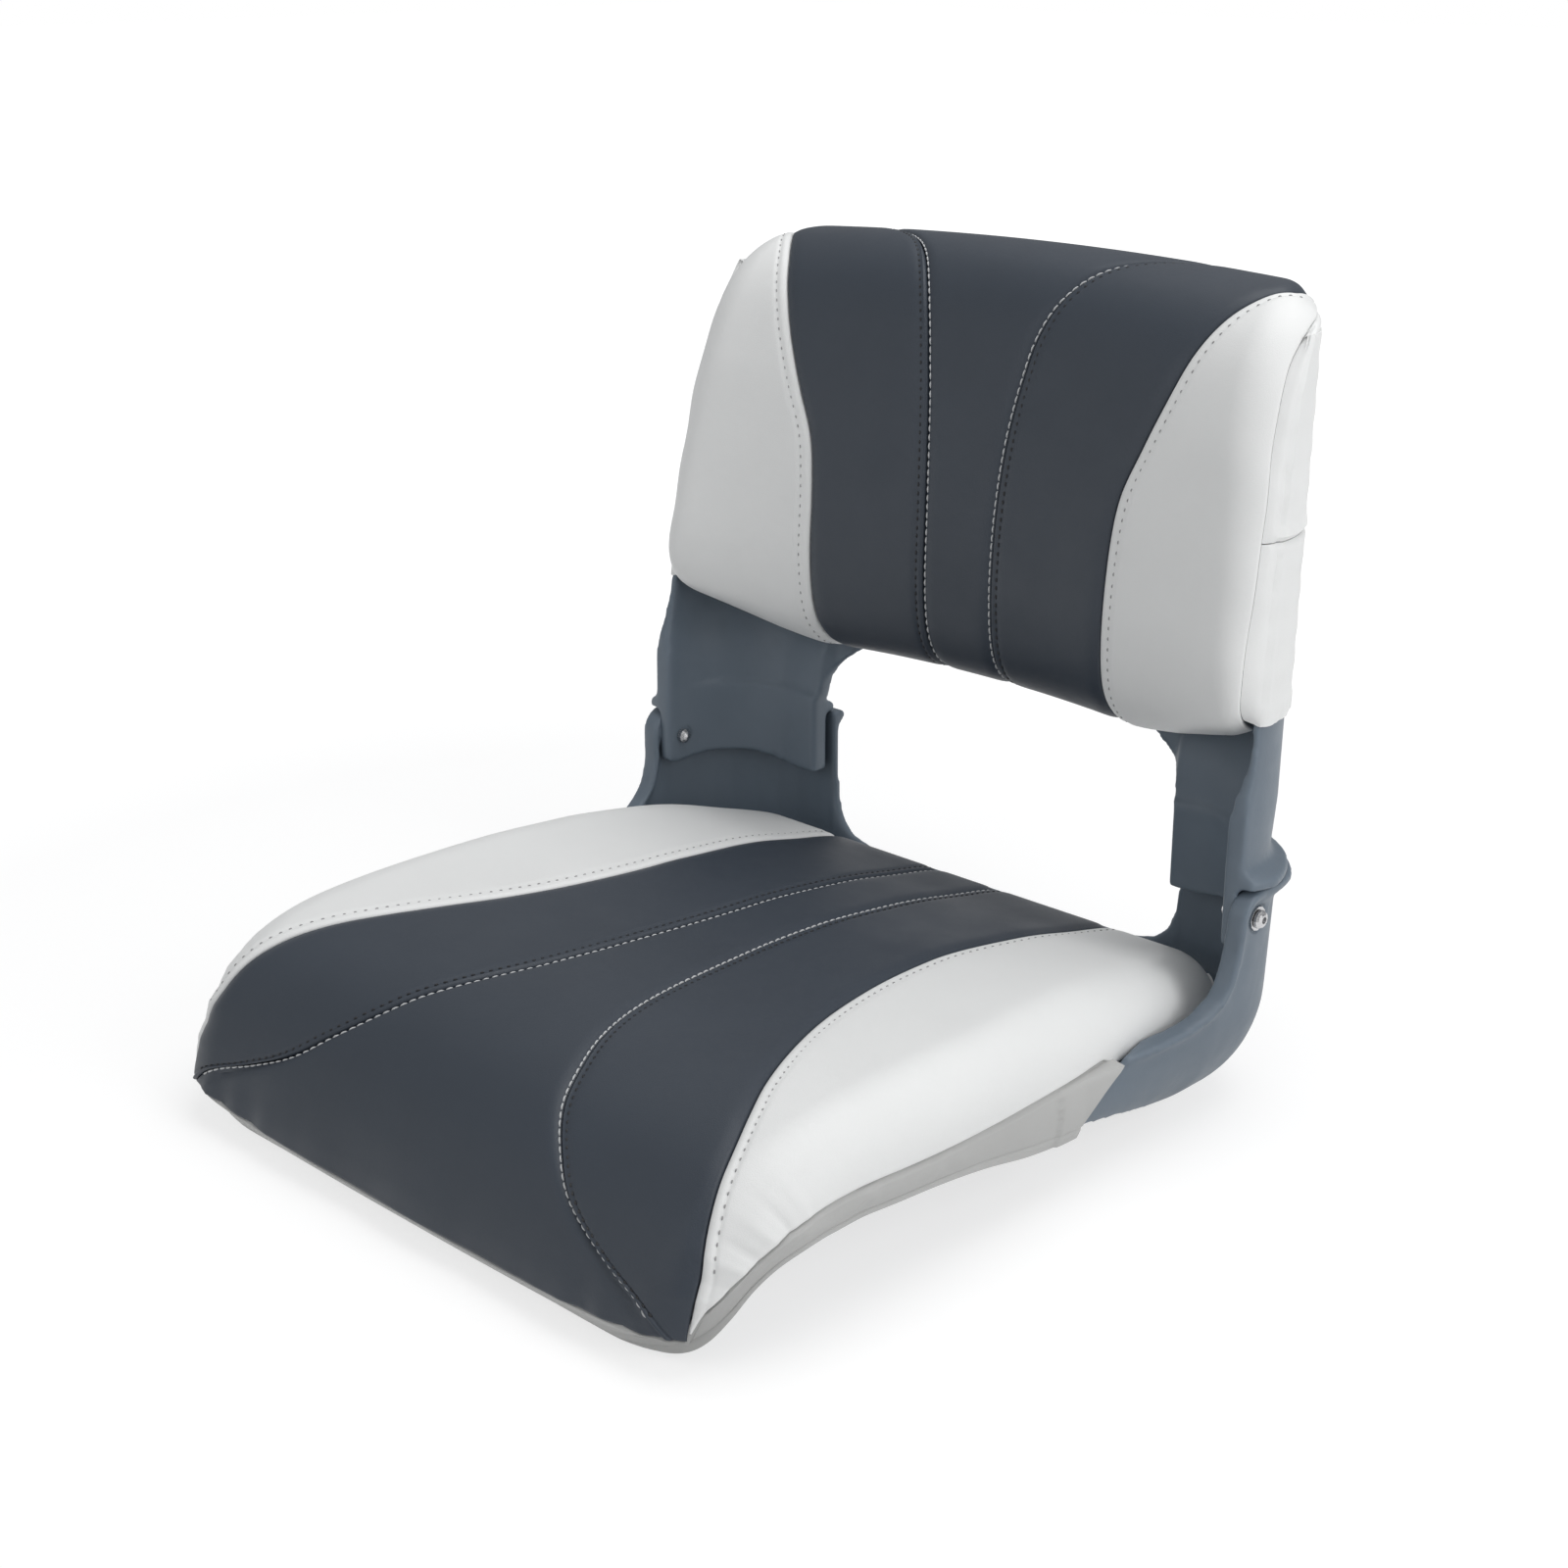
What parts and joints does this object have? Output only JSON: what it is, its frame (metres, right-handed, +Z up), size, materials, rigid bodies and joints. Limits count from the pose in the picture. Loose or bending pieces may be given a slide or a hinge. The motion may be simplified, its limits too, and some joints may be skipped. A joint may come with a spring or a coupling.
{
  "type": "boat seat",
  "caption": "Fold-down boat seat: padded low-back seat on a moulded plastic pan, its backrest hinged between two uprights.",
  "frame": {"origin": "on the ground under the middle of the part", "axes": "+Y from the seat's front to its back, +Z up, +X to the sitter's left"},
  "size_m": [0.4706, 0.5089, 0.445],
  "materials": {
    "shell_plastic": "satin, finely textured",
    "vinyl_charcoal": "satin vinyl, fine grain",
    "vinyl_white": "satin vinyl, fine grain",
    "vinyl_grey": "satin vinyl",
    "foam": "open cell foam",
    "stainless_steel": "satin",
    "brass": "plain",
    "nylon": "smooth"
  },
  "bodies": {
    "base": {"seat_pan": "shell_plastic", "seat_foam": "foam", "seat_centre_panel": "vinyl_charcoal", "seat_charcoal_panel_left": "vinyl_charcoal", "seat_charcoal_panel_right": "vinyl_charcoal", "seat_white_panel_left": "vinyl_white", "seat_white_panel_right": "vinyl_white", "seat_boxing": "vinyl_grey", "seat_rear_flap": "vinyl_charcoal", "seat_rivet_1": "stainless_steel", "seat_rivet_2": "stainless_steel", "seat_rivet_3": "stainless_steel", "seat_rivet_4": "stainless_steel", "mount_insert_front_left": "brass", "mount_insert_front_right": "brass", "mount_insert_rear_left": "brass", "mount_insert_rear_right": "brass", "pivot_washer_left": "stainless_steel", "pivot_washer_right": "stainless_steel", "pivot_screw_left": "stainless_steel", "pivot_screw_right": "stainless_steel"},
    "back": {"back_shell": "shell_plastic", "back_foam": "foam", "back_centre_panel": "vinyl_charcoal", "back_charcoal_panel_left": "vinyl_charcoal", "back_charcoal_panel_right": "vinyl_charcoal", "back_white_panel_left": "vinyl_white", "back_white_panel_right": "vinyl_white", "back_rear_panel": "vinyl_charcoal", "back_rivet_1": "stainless_steel", "back_rivet_2": "stainless_steel", "back_rivet_3": "stainless_steel", "back_rivet_4": "stainless_steel", "back_boxing_upper_left": "vinyl_white", "back_boxing_upper_right": "vinyl_white", "back_boxing_lower_left": "vinyl_white", "back_boxing_lower_right": "vinyl_white", "pivot_bush_left": "nylon", "pivot_bush_right": "nylon", "pivot_nut_left": "stainless_steel", "pivot_nut_right": "stainless_steel"}
  },
  "joints": [
    {"name": "back_fold", "type": "hinge", "parent": "base", "child": "back", "pos_m": [0, 0.149, 0.118], "axis": [1, 0, 0], "range_deg": [0, 90]}
  ]
}
